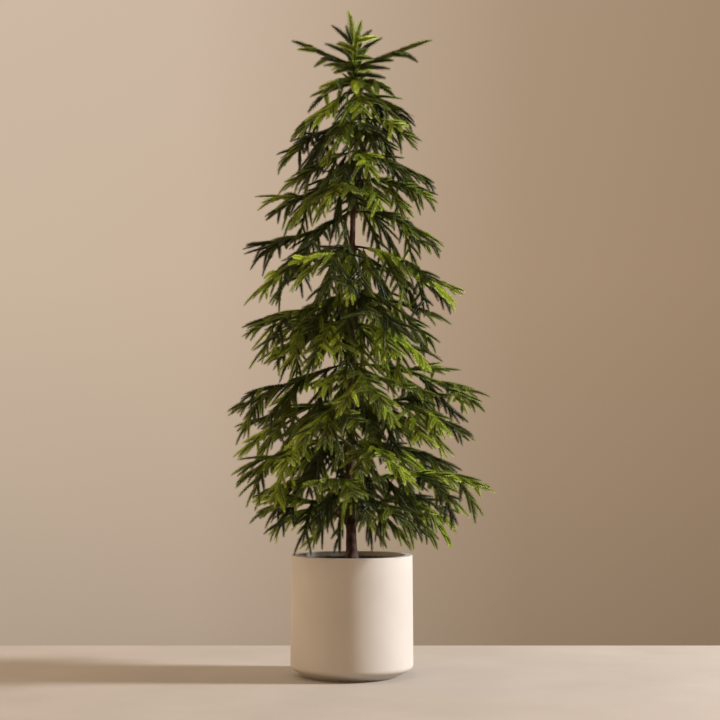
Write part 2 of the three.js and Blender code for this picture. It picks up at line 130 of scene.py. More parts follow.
def add_piece(name, mesh):
    """The mesh as an object of the scene, at the frame's origin."""
    piece = bpy.data.objects.new(name, mesh)
    bpy.context.scene.collection.objects.link(piece)
    return piece


def fit_piece(piece, slot, *nodes):
    """The piece moves with the plant and stands for the solids named; its slot is not used."""
    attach(piece, "root")
    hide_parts(*nodes)


def noise_on(tree, scale, detail, stretch=(1, 1, 1)):
    """Noise that keeps its place on the piece, with `scale` grains to the metre."""
    place = tree.nodes.new("ShaderNodeTexCoord")
    mapping = tree.nodes.new("ShaderNodeMapping")
    mapping.inputs["Scale"].default_value = stretch
    noise = tree.nodes.new("ShaderNodeTexNoise")
    noise.inputs["Scale"].default_value = scale
    noise.inputs["Detail"].default_value = detail
    tree.links.new(place.outputs["Object"], mapping.inputs["Vector"])
    tree.links.new(mapping.outputs["Vector"], noise.inputs["Vector"])
    return noise.outputs["Fac"]


def ramp_on(tree, value, stops):
    """Colours at places along a value, as (place, colour) pairs."""
    ramp = tree.nodes.new("ShaderNodeValToRGB")
    elements = ramp.color_ramp.elements
    while len(elements) < len(stops):
        elements.new(0.5)
    for element, (place, colour) in zip(elements, stops):
        element.position = place
        element.color = (*colour, 1)
    tree.links.new(value, ramp.inputs["Fac"])
    return ramp.outputs["Color"]


def mottled_finish(name, roughness, specular, mottle, colours, grain=None, bump=None):
    """Finish with an even gloss, whose colours follow one noise and whose bumps follow a finer one.

    A noise is given as (grains to the metre, detail) or with a stretch as well, bumps as (strength, height).
    """
    finish = bpy.data.materials.new(name)
    finish.use_nodes = True
    tree = finish.node_tree
    shader = tree.nodes["Principled BSDF"]
    shader.inputs["Roughness"].default_value = roughness
    shader.inputs["Specular IOR Level"].default_value = specular
    tree.links.new(ramp_on(tree, noise_on(tree, *mottle), colours), shader.inputs["Base Color"])
    if grain:
        relief = tree.nodes.new("ShaderNodeBump")
        relief.inputs["Strength"].default_value = bump[0]
        relief.inputs["Distance"].default_value = bump[1]
        tree.links.new(noise_on(tree, *grain), relief.inputs["Height"])
        tree.links.new(relief.outputs["Normal"], shader.inputs["Normal"])
    return finish


pot_outline = eased([
    (0, 0, 0),
    (FOOT_RADIUS, 0, FOOT_EASE),
    (FOOT_RADIUS, FOOT_HEIGHT, 0),
    (UNDERCUT_RADIUS, FOOT_HEIGHT, UNDERCUT_EASE),
    (BASE_RADIUS, UNDERCUT_TOP, EDGE_EASE),
    (RIM_RADIUS, RIM_HEIGHT, LIP_EASE),
    (INNER_RADIUS, RIM_HEIGHT, LIP_EASE),
    (INNER_RADIUS, FLOOR_TOP, 0),
    (0, FLOOR_TOP, 0),
])
stoneware = mottled_finish(
    "matte stoneware", roughness=0.62, specular=0.35,
    mottle=(7, 4), colours=[(0.3, (0.522, 0.465, 0.400)), (0.7, (0.565, 0.510, 0.443))],
    grain=(650, 4), bump=(0.12, 0.0006),
)
planter = add_piece("planter", turned_mesh("planter", pot_outline, POT_SIDES))
planter.data.materials.append(stoneware)
fit_piece(planter, "planter", "pot")


# The filling is a firm block that holds the trunk, hidden under a layer of dark dried moss.
# The moss is pressed down by hand, so it lies in low humps with loose strands standing out of it.
FILL_CLEAR = 0.0006
FILL_LIFT = 0.0003
FILL_RADIUS = INNER_RADIUS - FILL_CLEAR
FILL_FOOT = FLOOR_TOP + FILL_LIFT
FILL_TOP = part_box("pot_fill")[1].z
MOSS_RINGS = 26
MOSS_SIDES = 96
MOSS_EDGE_DROP = 0.004
MOSS_EDGE_POWER = 4
HUMP_LEVEL = 0.62
FACES_UP = 0.5
STRAND_TILT = 0.9
STRAND_SIZES = (0.5, 1.0)
STRAND_POINTS = [(-0.0007, 0, -0.001), (0.0007, 0, -0.001), (0.001, 0.002, 0.004), (0.003, 0.004, 0.008)]


def geometry_tree(name, sockets):
    """Node tree with named inputs, given as (name, kind, value); returns it with its two ends."""
    tree = bpy.data.node_groups.new(name, "GeometryNodeTree")
    tree.interface.new_socket("Geometry", in_out="INPUT", socket_type="NodeSocketGeometry")
    for socket_name, kind, value in sockets:
        socket = tree.interface.new_socket(socket_name, in_out="INPUT", socket_type=f"NodeSocket{kind}")
        if value is not None:
            socket.default_value = value
    tree.interface.new_socket("Geometry", in_out="OUTPUT", socket_type="NodeSocketGeometry")
    start = tree.nodes.new("NodeGroupInput")
    end = tree.nodes.new("NodeGroupOutput")
    return tree, start, end


def node_in(tree, kind, values=None, **settings):
    """New node with its settings and inputs; an input's value is a plain value or another output."""
    node = tree.nodes.new(kind)
    for setting, value in settings.items():
        setattr(node, setting, value)
    for key, value in (values or {}).items():
        if isinstance(value, bpy.types.NodeSocket):
            tree.links.new(value, node.inputs[key])
        else:
            node.inputs[key].default_value = value
    return node


def maths(tree, operation, *values):
    """Result of one step of arithmetic in a node tree."""
    return node_in(tree, "ShaderNodeMath", dict(enumerate(values)), operation=operation).outputs[0]


def height_over(tree, value, level, height):
    """How far a value stands over a level, times a height."""
    return maths(tree, "MULTIPLY", maths(tree, "SUBTRACT", value, level), height)


def random_in(tree, limits, seed):
    """Random number between two limits, another one for each point."""
    node = node_in(tree, "FunctionNodeRandomValue", {2: limits[0], 3: limits[1], "Seed": seed},
                   data_type="FLOAT")
    return node.outputs[1]


def joined_in(tree, *parts):
    """Several geometries as one."""
    whole = node_in(tree, "GeometryNodeJoinGeometry")
    for part in parts:
        tree.links.new(part, whole.inputs[0])
    return whole.outputs[0]


def end_in_finish(tree, start, end, geometry):
    """Closes a node tree: everything becomes real mesh in the finish that its Finish input gives."""
    real = node_in(tree, "GeometryNodeRealizeInstances", {"Geometry": geometry})
    coloured = node_in(tree, "GeometryNodeSetMaterial", {
        "Geometry": real.outputs[0], "Material": start.outputs["Finish"],
    })
    tree.links.new(coloured.outputs[0], end.inputs[0])


def grown(piece, tree, **inputs):
    """Runs a node tree on a piece and gives the plain mesh that comes out of it."""
    modifier = piece.modifiers.new(tree.name, "NODES")
    modifier.node_group = tree
    sockets = {item.name: item.identifier for item in tree.interface.items_tree if item.in_out == "INPUT"}
    for name, value in inputs.items():
        modifier[sockets[name.replace("_", " ")]] = value
    shown = piece.evaluated_get(bpy.context.evaluated_depsgraph_get())
    mesh = bpy.data.meshes.new_from_object(shown)
    piece.modifiers.remove(modifier)
    # A start without a finish leaves an empty first slot, which no face uses
    if len(mesh.materials) > 1 and mesh.materials[0] is None:
        mesh.materials.pop(index=0)
    return mesh


def grown_piece(name, mesh, tree, **inputs):
    """The finished piece that a node tree makes of a starting mesh, which is then thrown away."""
    start = add_piece(name + " start", mesh)
    piece = add_piece(name, grown(start, tree, **inputs))
    bpy.data.objects.remove(start)
    return piece


moss_tree, start, end = geometry_tree("moss layer", [
    ("Hump height", "Float", 0.006),
    ("Humps per metre", "Float", 38.0),
    ("Strand", "Object", None),
    ("Strands", "Float", 90000.0),
    ("Seed", "Int", 3),
    ("Finish", "Material", None),
])
humps = node_in(moss_tree, "ShaderNodeTexNoise", {"Scale": start.outputs["Humps per metre"], "Detail": 5.0})
rise = height_over(moss_tree, humps.outputs["Fac"], HUMP_LEVEL, start.outputs["Hump height"])
lifted = node_in(moss_tree, "ShaderNodeCombineXYZ", {"Z": rise})
normal = node_in(moss_tree, "GeometryNodeInputNormal")
facing = node_in(moss_tree, "ShaderNodeSeparateXYZ", {0: normal.outputs[0]})
top = maths(moss_tree, "GREATER_THAN", facing.outputs["Z"], FACES_UP)
layer = node_in(moss_tree, "GeometryNodeSetPosition", {
    "Geometry": start.outputs["Geometry"], "Selection": top, "Offset": lifted.outputs[0],
})
scattered = node_in(moss_tree, "GeometryNodeDistributePointsOnFaces", {
    "Mesh": layer.outputs[0], "Selection": top, "Density": start.outputs["Strands"],
    "Seed": start.outputs["Seed"],
})
strand = node_in(moss_tree, "GeometryNodeObjectInfo", {"Object": start.outputs["Strand"]})
tilt = node_in(moss_tree, "FunctionNodeRandomValue", {
    0: (-STRAND_TILT, -STRAND_TILT, 0.0), 1: (STRAND_TILT, STRAND_TILT, 2 * pi),
    "Seed": start.outputs["Seed"],
}, data_type="FLOAT_VECTOR")
strands = node_in(moss_tree, "GeometryNodeInstanceOnPoints", {
    "Points": scattered.outputs["Points"], "Instance": strand.outputs["Geometry"],
    "Rotation": tilt.outputs[0], "Scale": random_in(moss_tree, STRAND_SIZES, start.outputs["Seed"]),
})
end_in_finish(moss_tree, start, end, joined_in(moss_tree, layer.outputs[0], strands.outputs[0]))

dried_moss = mottled_finish(
    "dried moss", roughness=0.95, specular=0.2, mottle=(120, 5),
    colours=[(0.3, (0.012, 0.009, 0.005)), (0.5, (0.035, 0.026, 0.012)), (0.75, (0.085, 0.062, 0.028))],
    grain=(900, 4), bump=(0.6, 0.002),
)
strand_mesh = bpy.data.meshes.new("moss strand")
strand_mesh.from_pydata(STRAND_POINTS, [], [(0, 1, 2), (0, 2, 3)])
strand_shape = add_piece("moss strand", strand_mesh)
fill_outline = [Vector((0, FILL_FOOT)), Vector((FILL_RADIUS, FILL_FOOT))]
for i in range(MOSS_RINGS):
    radius = FILL_RADIUS * (1 - i / MOSS_RINGS)
    drop = MOSS_EDGE_DROP * (radius / FILL_RADIUS) ** MOSS_EDGE_POWER
    fill_outline.append(Vector((radius, FILL_TOP - drop)))
fill_outline.append(Vector((0, FILL_TOP)))
fill_mesh = turned_mesh("moss", fill_outline, MOSS_SIDES)
moss = grown_piece("moss", fill_mesh, moss_tree, Strand=strand_shape, Finish=dried_moss)
fit_piece(moss, "filling", "pot_fill")
bpy.data.objects.remove(strand_shape)


# The trunk is a steel rod wrapped and moulded over in reddish-brown plastic bark with knots and rings.
# It bends a little, swells where each whorl of boughs leaves it, and flares where it enters the moss.
TRUNK_TOP = 1.600
LEADER_TIP = 1.822
TRUNK_LINE = [(0, FILL_TOP), (-0.005, 0.480), (-0.003, 0.900), (0.001, 1.190), (0.006, 1.335),
              (0.015, 1.560), (0.013, TRUNK_TOP), (-0.003, LEADER_TIP)]
TRUNK_FOOT_RADIUS = 0.0145
TRUNK_TOP_RADIUS = 0.0046
FLARE = 0.006
FLARE_LENGTH = 0.018
TRUNK_SIDES = 40
TRUNK_STEP = 0.005
COLLAR = 0.0030
COLLAR_LENGTH = 0.010
KNOT_LEVEL = 0.45
KNOT_SOFTNESS = 0.6
RING_LEVEL = 0.5
RING_FLATNESS = (0.25, 0.25, 1.0)
UPRIGHT = 0.9
# Whorls from the top down: height, reach and tip height on the right, then on the left, arch on the
# right and on the left, first azimuth and number of boughs; the boughs of the first two leave the leader
WHORLS = [
    (1.658, 0.214, 1.738, 0.162, 1.748, -0.02, -0.10, 2, 4),
    (1.622, 0.150, 1.566, 0.134, 1.562, 0.40, 0.35, -36, 4),
    (1.592, 0.168, 1.520, 0.164, 1.462, 0.30, 0.24, 14, 4),
    (1.512, 0.180, 1.452, 0.226, 1.424, 0.30, 0.20, -20, 4),
    (1.430, 0.234, 1.348, 0.186, 1.332, 0.14, 0.14, 12, 4),
    (1.343, 0.226, 1.288, 0.254, 1.264, 0.26, 0.12, -18, 4),
    (1.268, 0.250, 1.170, 0.294, 1.178, 0.34, -0.30, 6, 2),
    (1.166, 0.280, 1.000, 0.284, 1.054, 0.38, 0.30, -22, 4),
    (1.048, 0.234, 0.906, 0.286, 0.930, 0.34, -0.04, 26, 4),
    (0.956, 0.208, 0.834, 0.246, 0.846, 0.34, 0.46, -30, 4),
    (0.842, 0.372, 0.730, 0.340, 0.718, 0.24, 0.08, 4, 4),
    (0.745, 0.306, 0.648, 0.322, 0.614, 0.36, 0.34, -26, 4),
    (0.628, 0.300, 0.544, 0.304, 0.520, 0.26, 0.40, 26, 4),
    (0.506, 0.384, 0.504, 0.275, 0.476, 0.34, 0.36, -5, 4),
    (0.414, 0.296, 0.422, 0.238, 0.436, 0.60, 0.56, 32, 4),
]
UP = Vector((0, 0, 1))


def between(low, high, share):
    """Value that lies a share of the way from low to high."""
    return low + (high - low) * share


def trunk_at(height):
    """Middle of the trunk, or of the leader above it, at a height."""
    for (x0, z0), (x1, z1) in zip(TRUNK_LINE, TRUNK_LINE[1:]):
        if height <= z1 or z1 == LEADER_TIP:
            return Vector((x0 + (x1 - x0) * (height - z0) / (z1 - z0), 0, height))


def trunk_radius(height):
    """Straight taper with a flare at the moss."""
    straight = between(TRUNK_FOOT_RADIUS, TRUNK_TOP_RADIUS, (height - FILL_TOP) / (TRUNK_TOP - FILL_TOP))
    return straight + FLARE * exp(-(height - FILL_TOP) / FLARE_LENGTH)


def tube_mesh(name, stations, sides):
    """Closed tube through (place, direction, radius) stations."""
    points = []
    above = Vector((0, 1, 0)) if abs(stations[0][1].z) > UPRIGHT else UP.copy()
    for at, along, radius in stations:
        above = (above - along * above.dot(along)).normalized()
        across = along.cross(above)
        for i in range(sides):
            turn = 2 * pi * i / sides
            points.append(at + (across * cos(turn) + above * sin(turn)) * radius)
    faces = []
    for ring in range(0, len(points) - sides, sides):
        for i in range(sides):
            j = (i + 1) % sides
            faces.append((ring + j, ring + i, ring + sides + i, ring + sides + j))
    faces.append(tuple(range(sides)))
    faces.append(tuple(reversed(range(len(points) - sides, len(points)))))
    return smooth_mesh(name, points, faces)


bark_tree, start, end = geometry_tree("bark relief", [
    ("Knot height", "Float", 0.0022),
    ("Knots per metre", "Float", 95.0),
    ("Ring height", "Float", 0.0010),
    ("Rings per metre", "Float", 190.0),
    ("Finish", "Material", None),
])
place = node_in(bark_tree, "GeometryNodeInputPosition")
knots = node_in(bark_tree, "ShaderNodeTexVoronoi", {
    "Vector": place.outputs[0], "Scale": start.outputs["Knots per metre"], "Smoothness": KNOT_SOFTNESS,
}, feature="SMOOTH_F1")
flat = node_in(bark_tree, "ShaderNodeVectorMath", {
    0: place.outputs[0], 1: RING_FLATNESS,
}, operation="MULTIPLY")
rings = node_in(bark_tree, "ShaderNodeTexNoise", {
    "Vector": flat.outputs[0], "Scale": start.outputs["Rings per metre"], "Detail": 2.0,
})
knot_rise = height_over(bark_tree, KNOT_LEVEL, knots.outputs["Distance"], start.outputs["Knot height"])
ring_rise = height_over(bark_tree, rings.outputs["Fac"], RING_LEVEL, start.outputs["Ring height"])
normal = node_in(bark_tree, "GeometryNodeInputNormal")
rise = node_in(bark_tree, "ShaderNodeVectorMath", {
    0: normal.outputs[0], "Scale": maths(bark_tree, "ADD", knot_rise, ring_rise),
}, operation="SCALE")
relief = node_in(bark_tree, "GeometryNodeSetPosition", {
    "Geometry": start.outputs["Geometry"], "Offset": rise.outputs[0],
})
end_in_finish(bark_tree, start, end, relief.outputs[0])

moulded_bark = mottled_finish(
    "moulded bark", roughness=0.72, specular=0.35, mottle=(90, 6, (1, 1, 0.45)),
    colours=[(0.3, (0.020, 0.007, 0.004)), (0.5, (0.064, 0.023, 0.013)), (0.72, (0.17, 0.085, 0.052))],
    grain=(420, 5, (1, 1, 0.5)), bump=(0.7, 0.0015),
)
trunk_steps = round((TRUNK_TOP - FILL_TOP) / TRUNK_STEP)
stations = []
for i in range(trunk_steps + 1):
    height = FILL_TOP + (TRUNK_TOP - FILL_TOP) * i / trunk_steps
    collar = sum(exp(-((height - row[0]) / COLLAR_LENGTH) ** 2) for row in WHORLS)
    radius = trunk_radius(height) + min(1, collar) * COLLAR * trunk_radius(height) / TRUNK_FOOT_RADIUS
    stations.append((trunk_at(height), UP, radius))
trunk = grown_piece("trunk_bark", tube_mesh("trunk", stations, TRUNK_SIDES), bark_tree, Finish=moulded_bark)
fit_piece(trunk, "bark", "trunk")


# The boughs are wired limbs in fifteen whorls, pushed into the trunk and leader and bent by hand into
# drooping arches. Only the four lowest show bare wood, in the same moulded bark as the trunk's. Each has
# its own seeded run of numbers, so it always comes out the same; twigs leave it left and right.
AZIMUTH_PLAY = 5
HEIGHT_PLAY = 0.007
SWING = 7
# A bough that points sideways enough shows nearly its whorl's full reach, the others have a share of it
SIDEWAYS = 0.8
SIDE_REACH = 0.97
ACROSS_REACH = (0.84, 0.98)
END_SPRAY_LEAST = 0.048
END_SPRAY_GROWTH = 0.1
END_SPRAY_MOST = 0.084
STEM_GAP = 0.0005
# Twigs get shorter towards the tip; the inner ones hang lower, and those of the two lowest whorls too
TWIG_SPACING = 0.032
TWIGS_LEAST = 5
TWIG_START = 0.10
TWIG_RUN = 0.80
TWIG_PLAY = 0.25
TWIG_LIMITS = (0.08, 0.93)
TWIG_SHARE = 0.56
TWIG_OUTLINE = 0.75
TWIG_LEAST = 0.022
TWIG_LENGTHS = (0.85, 1.12)
TWIG_SPREAD = (34, 54)
TWIG_LOWERED = (6, 30, -18, 18, 38, -6)
LOWERED_PLAY = 7
INNER_SHARE = 0.45
INNER_LOWERED = 46
INNER_SHORTER = 0.3
APRON_WHORL = 13
APRON_LOWERED = 14
TWIG_SAG = (0.05, 0.22)
TWIG_END_SPRAY = 0.9
LEADER_WHORLS = 2
LEADER_TWIGS_LEAST = 3
LEADER_TWIGS = 0.15
LEADER_HANG = 0.4
BARE_WHORL = len(WHORLS) - 1
BARE_SHARE = 0.3
LIMB_RADIUS = 0.0055
LIMB_SIDES = 20
LIMB_STEPS = 24
LIMB_KNOTS = 0.0010
LIMB_RINGS = 0.0006
STEM_LEAST = 0.0023
STEM_GROWTH = 0.0045
# The seeded numbers come from the common rule that multiplies, adds and keeps the remainder
WHORL_SEED = 7919
BOUGH_SEED = 104729
MULTIPLIER = 1664525
ADDEND = 1013904223
RANGE = 2 ** 32
FIRST_SKIPPED = 4

# A bough: its name in the frame, its whorl, its stem's path and length, the length of the spray at its end,
# its twigs and its own run of numbers
Bough = namedtuple("Bough", "node whorl path length spray twigs draw")


def draws(whorl, number):
    """Repeatable numbers between low and high for the bough with this number in its whorl."""
    state = (WHORL_SEED * (whorl + 1) + BOUGH_SEED * (number + 1)) % RANGE

    def draw(low=0.0, high=1.0):
        nonlocal state
        state = (state * MULTIPLIER + ADDEND) % RANGE
        return low + (high - low) * state / RANGE

    for _ in range(FIRST_SKIPPED):
        draw()
    return draw


def tangent(path, t, step=0.02):
    """Direction of a path at a share of its way."""
    return (path(min(1, t + step)) - path(max(0, t - step))).normalized()


def path_length(path, steps=12):
    """Length of a path, measured along short chords."""
    return sum((path((i + 1) / steps) - path(i / steps)).length for i in range(steps))


def branch_way(along, side, spread, lower):
    """Direction that leaves a limb to one side by `spread` and is lowered by `lower`."""
    above = along.cross(UP).cross(along).normalized()
    way = Matrix.Rotation(side * spread, 3, above) @ along
    return Matrix.Rotation(lower, 3, UP.cross(way).normalized()) @ way


def droop(start, way, length, sag):
    """Path that sets out straight and sags more and more towards its tip."""
    return lambda t: start + way * (length * t) - UP * (sag * length * t * t)


def places_along(path, length, start=0.0):
    """Place and direction at a distance along a limb, which runs straight on past its path's end."""
    end = path(1)
    end_way = tangent(path, 1)

    def place(distance):
        t = start + (1 - start) * distance / length
        if t <= 1:
            return path(t), tangent(path, t)
        return end + end_way * (distance - length), end_way.copy()

    return place


def bough_path(whorl, number, draw):
    """One bough's path, worked out as the solid's is, and the length of the spray at its end."""
    height, right_reach, right_tip, left_reach, left_tip, right_arch, left_arch, first, count = WHORLS[whorl]
    azimuth = radians(first + 360 / count * number + draw(-AZIMUTH_PLAY, AZIMUTH_PLAY))
    side = cos(azimuth)
    right = 0.5 + 0.5 * side
    shrink = draw(*ACROSS_REACH)
    stretch = SIDE_REACH / abs(side) if abs(side) > SIDEWAYS else shrink
    reach = between(left_reach, right_reach, right) * stretch
    tip_height = between(left_tip, right_tip, right)
    arch = between(left_arch, right_arch, right)
    leaves_at = height + draw(-HEIGHT_PLAY, HEIGHT_PLAY)
    swing = radians(draw(-SWING, SWING))
    spray = min(END_SPRAY_MOST, END_SPRAY_LEAST + END_SPRAY_GROWTH * reach)
    end_slope = (tip_height - leaves_at) / reach - arch
    level = TWIG_END_SPRAY * spray / hypot(1, end_slope)
    span = reach - level
    climb = tip_height - leaves_at - level * end_slope
    start = trunk_at(leaves_at)
    start_radius = 0 if whorl < LEADER_WHORLS else trunk_radius(leaves_at) + STEM_GAP

    def path(t):
        angle = azimuth + swing * t * t
        out = start_radius + (span - start_radius) * t
        rise = climb * t + arch * span * t * (1 - t)
        return Vector((start.x * (1 - t) + cos(angle) * out, sin(angle) * out, leaves_at + rise))

    return path, spray


def twigs_along(whorl, number, path, length, draw):
    """Twigs that leave a bough left and right in turn, as (path, length); its bare wood has none."""
    on_leader = whorl < LEADER_WHORLS
    hand = 1 if draw() < 0.5 else -1
    count = max(LEADER_TWIGS_LEAST if on_leader else TWIGS_LEAST, round(length / TWIG_SPACING))
    twigs = []
    for i in range(count):
        share = TWIG_START + TWIG_RUN * (i + draw(-TWIG_PLAY, TWIG_PLAY)) / (count - 1)
        t = min(TWIG_LIMITS[1], max(TWIG_LIMITS[0], share))
        inner = 0 if on_leader else max(0, 1 - t / INNER_SHARE)
        hang = TWIG_LOWERED[(i + whorl + number) % len(TWIG_LOWERED)] * (LEADER_HANG if on_leader else 1)
        apron = 0 if whorl < APRON_WHORL else APRON_LOWERED
        lowered = hang + INNER_LOWERED * inner + apron + draw(-LOWERED_PLAY, LOWERED_PLAY)
        way = branch_way(tangent(path, t), hand, radians(draw(*TWIG_SPREAD)), radians(lowered))
        full_length = length * TWIG_SHARE * (1 - t) ** TWIG_OUTLINE + TWIG_LEAST
        shorter = LEADER_TWIGS if on_leader else 1 - INNER_SHORTER * inner
        twig_length = full_length * draw(*TWIG_LENGTHS) * shorter
        twig_path = droop(path(t), way, twig_length, draw(*TWIG_SAG))
        if t > (BARE_SHARE if whorl == BARE_WHORL else 0):
            twigs.append((twig_path, twig_length))
        hand = -hand
    return twigs


def planned_bough(whorl, number):
    """All that one bough's pieces are made from."""
    draw = draws(whorl, number)
    path, spray = bough_path(whorl, number, draw)
    length = path_length(path)
    twigs = twigs_along(whorl, number, path, length, draw)
    return Bough(f"{whorl}_{number + 1}", whorl, path, length, spray, twigs, draw)


def stem_radius(bough):
    """Thicker on a longer bough."""
    return STEM_LEAST + STEM_GROWTH * bough.length


boughs = [planned_bough(whorl, number) for whorl, row in enumerate(WHORLS) for number in range(row[-1])]
for bough in boughs:
    if bough.whorl == BARE_WHORL:
        stations = []
        for i in range(LIMB_STEPS + 1):
            t = BARE_SHARE * i / LIMB_STEPS
            radius = LIMB_RADIUS + (stem_radius(bough) - LIMB_RADIUS) * i / LIMB_STEPS
            stations.append((bough.path(t), tangent(bough.path, t), radius))
        limb = grown_piece(
            "limb_" + bough.node, tube_mesh("limb", stations, LIMB_SIDES), bark_tree,
            Knot_height=LIMB_KNOTS, Ring_height=LIMB_RINGS, Finish=moulded_bark,
        )
        fit_piece(limb, "bark", "bough_" + bough.node)


# The twigs are thin wire wound with brown tape: a bough's own stem, the twigs that leave it left and right
# and the leader above the trunk. Needles hide most of them except close to the trunk.
TWIG_SIDES = 5
STEM_STEPS = 14
TWIG_STEPS = 7
TWIG_TAPER = 0.75
SHORT_OF_TIP = 0.97
TWIG_THICKNESS = 0.0016
STEM_BARE = 0.12
TWIG_BARE = 0.05
RIM_CLEARANCE = 0.010
CLEAR_OF_RIM = RIM_HEIGHT + RIM_CLEARANCE
CUT_BACK = 0.01
SHORTEST_TWIG = 0.04
SPIKE_THICKNESS = 0.0040
SPIKE_BARE = 0.06
SPIKE_GIRTH = 1.6
PAST_THE_WIRE = 0.008
SPRAY_THICKNESS = 0.0012
SPRAY_GIRTH = 1.25
LEADER_SPRAYS = 17
LEADER_LEANS = (112, 34)
LEADER_LENGTHS = (0.104, 0.084)
LEADER_FIRST = 0.06
LEADER_RUN = 0.48
LEADER_SAG = 0.12
SPIRAL_START = 2.3
SPIRAL_TURN = 2.4
LEADER_TUFTS = 14
TUFT_LENGTH = 0.052
TUFT_LEAN = 46
TUFT_RUN = 0.5

# An axis is what needles grow along: a function that gives its places, its length and thickness, the
# share of it that stays bare, whether side shoots leave it, and how full its needles are
Axis = namedtuple("Axis", "place length thickness bare leafy girth")

twig_tree, start, end = geometry_tree("twigs", [("Sides", "Int", TWIG_SIDES), ("Finish", "Material", None)])
lines = node_in(twig_tree, "GeometryNodeMeshToCurve", {"Mesh": start.outputs["Geometry"]})
thickness = node_in(twig_tree, "GeometryNodeInputNamedAttribute", {"Name": "thickness"}, data_type="FLOAT")
section = node_in(twig_tree, "GeometryNodeCurvePrimitiveCircle", {
    "Resolution": start.outputs["Sides"], "Radius": 1.0,
})
tubes = node_in(twig_tree, "GeometryNodeCurveToMesh", {
    "Curve": lines.outputs[0], "Profile Curve": section.outputs["Curve"], "Scale": thickness.outputs[0],
    "Fill Caps": True,
})
end_in_finish(twig_tree, start, end, tubes.outputs[0])

wound_tape = mottled_finish(
    "wound tape", roughness=0.8, specular=0.3,
    mottle=(160, 4), colours=[(0.35, (0.030, 0.016, 0.009)), (0.65, (0.095, 0.050, 0.024))],
    grain=(1100, 3), bump=(0.4, 0.0008),
)


def axes_of(bough):
    """The axes of a bough: its stem and its twigs."""
    start = BARE_SHARE if bough.whorl == BARE_WHORL else 0
    length = bough.length * (1 - start)
    leafy = bough.whorl >= LEADER_WHORLS
    girth = 1.0 if leafy else SPRAY_GIRTH
    place = places_along(bough.path, length, start)
    stem = Axis(place, length + bough.spray, stem_radius(bough), STEM_BARE, leafy, girth)
    spray = TWIG_END_SPRAY * bough.spray
    twigs = [
        Axis(places_along(path, twig_length), twig_length + spray, TWIG_THICKNESS, TWIG_BARE, leafy, girth)
        for path, twig_length in bough.twigs
    ]
    return [stem, *twigs]


def leader_spray(root, way, lean, turn, length, sag, bare):
    """Single shoot that leans out of the leader's way, turned round it."""
    out = Vector((cos(turn), sin(turn), 0))
    spray_way = (way * cos(lean) + out * sin(lean)).normalized()
    place = places_along(droop(root, spray_way, length, sag), length)
    return Axis(place, length, SPRAY_THICKNESS, bare, False, SPRAY_GIRTH)


def leader_axes():
    """The leader's stem, the tufts on its lower half and the sprays set round it in a spiral.

    The sprays stand level at the leader's foot and steep at its tip.
    """
    foot = trunk_at(TRUNK_TOP)
    way = trunk_at(LEADER_TIP) - foot
    length = way.length
    way.normalize()
    stem_end = length - PAST_THE_WIRE
    place = places_along(droop(foot, way, stem_end, 0), stem_end)
    axes = [Axis(place, stem_end, SPIKE_THICKNESS, SPIKE_BARE, False, SPIKE_GIRTH)]
    for i in range(LEADER_TUFTS):
        root = foot + way * length * TUFT_RUN * i / LEADER_TUFTS
        turn = SPIRAL_TURN * (i + 0.5)
        axes.append(leader_spray(root, way, radians(TUFT_LEAN), turn, TUFT_LENGTH, 0, 0))
    for i in range(LEADER_SPRAYS):
        rank = i / (LEADER_SPRAYS - 1)
        root = foot + way * length * (LEADER_FIRST + LEADER_RUN * rank)
        lean = radians(between(*LEADER_LEANS, rank))
        turn = SPIRAL_START + SPIRAL_TURN * i
        spray_length = between(*LEADER_LENGTHS, rank)
        axes.append(leader_spray(root, way, lean, turn, spray_length, LEADER_SAG, TWIG_BARE))
    return axes


def above_rim(axis):
    """The same axis, cut short where it would hang below the planter's rim."""
    length = axis.length
    while length > 0 and axis.place(length)[0].z < CLEAR_OF_RIM:
        length -= CUT_BACK
    return axis._replace(length=length)


top_axes = leader_axes()
for bough in boughs:
    if bough.whorl < LEADER_WHORLS:
        top_axes += axes_of(bough)
crown = [("leader", top_axes, draws(len(WHORLS), 0))]
for bough in boughs:
    if bough.whorl >= LEADER_WHORLS:
        axes = [above_rim(axis) for axis in axes_of(bough)]
        crown.append((bough.node, [axis for axis in axes if axis.length > SHORTEST_TWIG], bough.draw))
points, edges, radii = [], [], []
for _, axes, _ in crown:
    for rank, axis in enumerate(axes):
        steps = TWIG_STEPS if rank else STEM_STEPS
        for i in range(steps + 1):
            if i:
                edges.append((len(points) - 1, len(points)))
            points.append(axis.place(axis.length * SHORT_OF_TIP * i / steps)[0])
            radii.append(axis.thickness * (1 - TWIG_TAPER * i / steps))
twig_mesh = bpy.data.meshes.new("twigs")
twig_mesh.from_pydata(points, edges, [])
twig_mesh.attributes.new("thickness", "FLOAT", "POINT").data.foreach_set("value", radii)
twigs = grown_piece("twigs", twig_mesh, twig_tree, Finish=wound_tape)
foliage_nodes = ["foliage_" + name for name, _, _ in crown]
fit_piece(twigs, "bark", *foliage_nodes)


# The needles are short soft plastic blades moulded along every shoot and leaning towards its tip, so that
# a shoot looks like a round brush. Shoots leave each twig left and right in flat hands that hang at their
# ends. Old ones are dark, young ones light, and the core of each shoot is painted darker than its needles:
# painted shade where the needles meet it.
NEEDLE_LENGTH = 0.0120
NEEDLE_WIDTH = 0.0025
NEEDLE_FOLD = 0.0006
NEEDLE_LEAN = 0.76
NEEDLE_SIZES = (0.80, 1.12)
NEEDLES_IN_RING = 5
RING_STEP = 0.0038
RING_TURN = 0.75
TIP_CLOSED = 0.7
TIP_POWER = 5.0
CORE_POINTS = 5
CORE_SIDES = 4
CORE_AT_TIP = 0.15
# Tones by which a shoot's core is shown darker than its needles: painted shade at the needles' base
CORE_PAINTED_SHADE = 2
